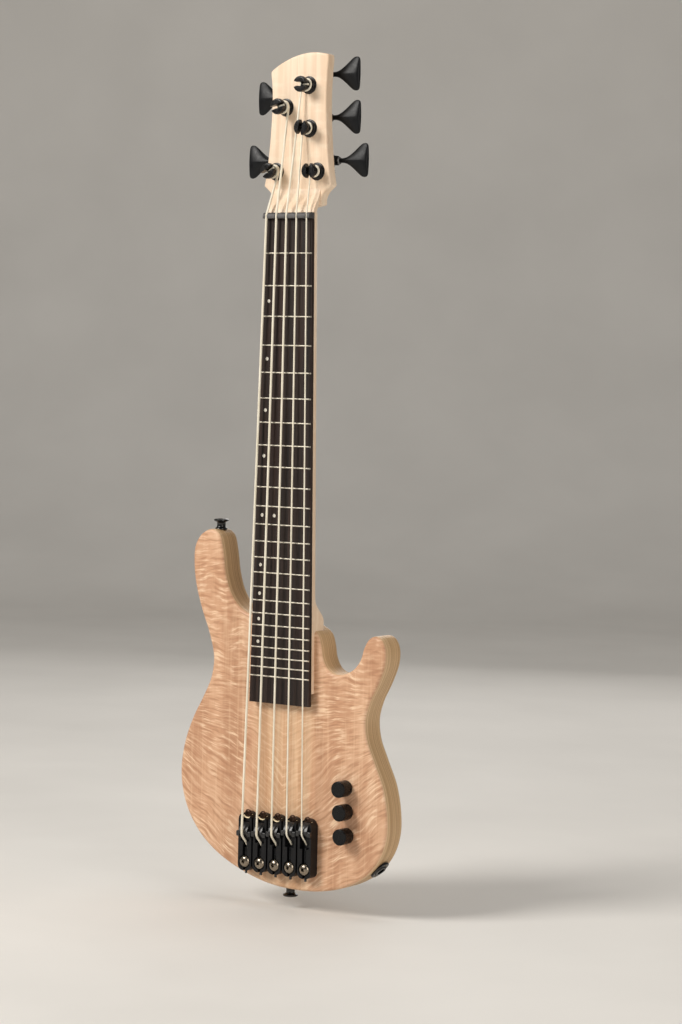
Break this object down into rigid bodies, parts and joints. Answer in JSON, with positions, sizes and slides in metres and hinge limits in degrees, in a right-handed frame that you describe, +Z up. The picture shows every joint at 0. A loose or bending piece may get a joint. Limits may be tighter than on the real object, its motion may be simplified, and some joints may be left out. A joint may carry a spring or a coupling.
{
  "type": "short-scale electric bass guitar",
  "caption": "Solid-body short-scale bass guitar with a fretted neck, open-gear tuners, separate single-string bridges, turning control knobs and a bookmatched figured wood top.",
  "frame": {"origin": "the hanger point: on the centre line of the neck, level with the underside of the headstock shoulders, at half the headstock's thickness", "axes": "+Z up along the neck towards the headstock top, -Y the way the strings and the figured top face, +X towards the treble side (to the right seen from the front)"},
  "size_m": [0.2219, 0.0437, 0.7358],
  "materials": {
    "figured_top": "satin lacquer over bookmatched figured maple, pinkish tan",
    "body_wood": "satin, laminated pale tan wood with fine lines parallel to the face",
    "neck_wood": "satin pale cream maple",
    "fingerboard_wood": "dark brown open grain, with nickel frets and pale dot markers",
    "nut_material": "dark grey, satin",
    "steel": "plain steel rod",
    "cover_plastic": "black, fine texture",
    "battery_case": "dark, unlabelled",
    "circuit_board": "green board",
    "pot_metal": "plain metal cans",
    "knob_black": "black satin",
    "jack_metal": "dark metal sleeve",
    "jack_plate_black": "black satin",
    "strap_button_black": "black, glossy",
    "bridge_black": "black satin",
    "saddle_black": "black satin, brighter worn edges",
    "screw_nickel": "nickel plated",
    "string_white": "matte cream white polyurethane",
    "tuner_black": "black satin",
    "button_black": "black semi gloss"
  },
  "bodies": {
    "instrument": {"body_top": "figured_top", "body_core": "body_wood", "neck": "neck_wood", "fingerboard": "fingerboard_wood", "nut": "nut_material", "truss_rod": "steel", "control_cover": "cover_plastic", "battery_cover": "cover_plastic", "battery": "battery_case", "preamp_board": "circuit_board", "pot_1": "pot_metal", "pot_2": "pot_metal", "pot_3": "pot_metal", "output_jack": "jack_metal", "jack_plate": "jack_plate_black", "strap_button_horn": "strap_button_black", "strap_button_tail": "strap_button_black", "bridge_base_1": "bridge_black", "bridge_screw_1": "screw_nickel", "string_1": "string_white", "tuner_plate_1": "tuner_black", "tuner_bushing_1": "tuner_black", "bridge_base_2": "bridge_black", "bridge_screw_2": "screw_nickel", "string_2": "string_white", "tuner_plate_2": "tuner_black", "tuner_bushing_2": "tuner_black", "bridge_base_3": "bridge_black", "bridge_screw_3": "screw_nickel", "string_3": "string_white", "tuner_plate_3": "tuner_black", "tuner_bushing_3": "tuner_black", "bridge_base_4": "bridge_black", "bridge_screw_4": "screw_nickel", "string_4": "string_white", "tuner_plate_4": "tuner_black", "tuner_bushing_4": "tuner_black", "bridge_base_5": "bridge_black", "bridge_screw_5": "screw_nickel", "string_5": "string_white", "tuner_plate_5": "tuner_black", "tuner_bushing_5": "tuner_black"},
    "button_1": {"tuner_button_1": "button_black"},
    "post_1": {"tuner_post_1": "tuner_black"},
    "saddle_1": {"bridge_saddle_1": "saddle_black"},
    "button_2": {"tuner_button_2": "button_black"},
    "post_2": {"tuner_post_2": "tuner_black"},
    "saddle_2": {"bridge_saddle_2": "saddle_black"},
    "button_3": {"tuner_button_3": "button_black"},
    "post_3": {"tuner_post_3": "tuner_black"},
    "saddle_3": {"bridge_saddle_3": "saddle_black"},
    "button_4": {"tuner_button_4": "button_black"},
    "post_4": {"tuner_post_4": "tuner_black"},
    "saddle_4": {"bridge_saddle_4": "saddle_black"},
    "button_5": {"tuner_button_5": "button_black"},
    "post_5": {"tuner_post_5": "tuner_black"},
    "saddle_5": {"bridge_saddle_5": "saddle_black"},
    "knob_1": {"knob_1": "knob_black"},
    "knob_2": {"knob_2": "knob_black"},
    "knob_3": {"knob_3": "knob_black"}
  },
  "joints": [
    {"name": "tuner_button_1_turn", "type": "hinge", "parent": "instrument", "child": "button_1", "pos_m": [-0.0223, 0.012, 0.0295], "axis": [-1, 0, 0], "continuous": true},
    {"name": "tuner_post_1_turn", "type": "hinge", "parent": "instrument", "child": "post_1", "pos_m": [-0.0223, -0.02, 0.0193], "axis": [0, -1, 0], "continuous": true},
    {"name": "tuner_button_2_turn", "type": "hinge", "parent": "instrument", "child": "button_2", "pos_m": [-0.0132, 0.012, 0.0847], "axis": [-1, 0, 0], "continuous": true},
    {"name": "tuner_post_2_turn", "type": "hinge", "parent": "instrument", "child": "post_2", "pos_m": [-0.0132, -0.02, 0.0745], "axis": [0, -1, 0], "continuous": true},
    {"name": "tuner_button_3_turn", "type": "hinge", "parent": "instrument", "child": "button_3", "pos_m": [0.0104, 0.012, 0.1032], "axis": [1, 0, 0], "continuous": true},
    {"name": "tuner_post_3_turn", "type": "hinge", "parent": "instrument", "child": "post_3", "pos_m": [0.0104, -0.02, 0.093], "axis": [0, -1, 0], "continuous": true},
    {"name": "tuner_button_4_turn", "type": "hinge", "parent": "instrument", "child": "button_4", "pos_m": [0.0119, 0.012, 0.0661], "axis": [1, 0, 0], "continuous": true},
    {"name": "tuner_post_4_turn", "type": "hinge", "parent": "instrument", "child": "post_4", "pos_m": [0.0119, -0.02, 0.0559], "axis": [0, -1, 0], "continuous": true},
    {"name": "tuner_button_5_turn", "type": "hinge", "parent": "instrument", "child": "button_5", "pos_m": [0.0209, 0.012, 0.029], "axis": [1, 0, 0], "continuous": true},
    {"name": "tuner_post_5_turn", "type": "hinge", "parent": "instrument", "child": "post_5", "pos_m": [0.0209, -0.02, 0.0188], "axis": [0, -1, 0], "continuous": true},
    {"name": "knob_1_turn", "type": "hinge", "parent": "instrument", "child": "knob_1", "pos_m": [0.0675, -0.0095, -0.5106], "axis": [0, -1, 0], "range_deg": [-150, 150]},
    {"name": "knob_2_turn", "type": "hinge", "parent": "instrument", "child": "knob_2", "pos_m": [0.0687, -0.0095, -0.5309], "axis": [0, -1, 0], "range_deg": [-150, 150]},
    {"name": "knob_3_turn", "type": "hinge", "parent": "instrument", "child": "knob_3", "pos_m": [0.0698, -0.0095, -0.5516], "axis": [0, -1, 0], "range_deg": [-150, 150]},
    {"name": "saddle_1_intonation", "type": "slide", "parent": "instrument", "child": "saddle_1", "axis": [0, 0, 1], "range_m": [-0.001, 0.003]},
    {"name": "saddle_2_intonation", "type": "slide", "parent": "instrument", "child": "saddle_2", "axis": [0, 0, 1], "range_m": [-0.001, 0.003]},
    {"name": "saddle_3_intonation", "type": "slide", "parent": "instrument", "child": "saddle_3", "axis": [0, 0, 1], "range_m": [-0.001, 0.003]},
    {"name": "saddle_4_intonation", "type": "slide", "parent": "instrument", "child": "saddle_4", "axis": [0, 0, 1], "range_m": [-0.001, 0.003]},
    {"name": "saddle_5_intonation", "type": "slide", "parent": "instrument", "child": "saddle_5", "axis": [0, 0, 1], "range_m": [-0.001, 0.003]}
  ],
  "couplings": [
    {"joint": "tuner_post_1_turn", "follows": "tuner_button_1_turn", "ratio": 0.05},
    {"joint": "tuner_post_2_turn", "follows": "tuner_button_2_turn", "ratio": 0.05},
    {"joint": "tuner_post_3_turn", "follows": "tuner_button_3_turn", "ratio": 0.05},
    {"joint": "tuner_post_4_turn", "follows": "tuner_button_4_turn", "ratio": 0.05},
    {"joint": "tuner_post_5_turn", "follows": "tuner_button_5_turn", "ratio": 0.05}
  ]
}
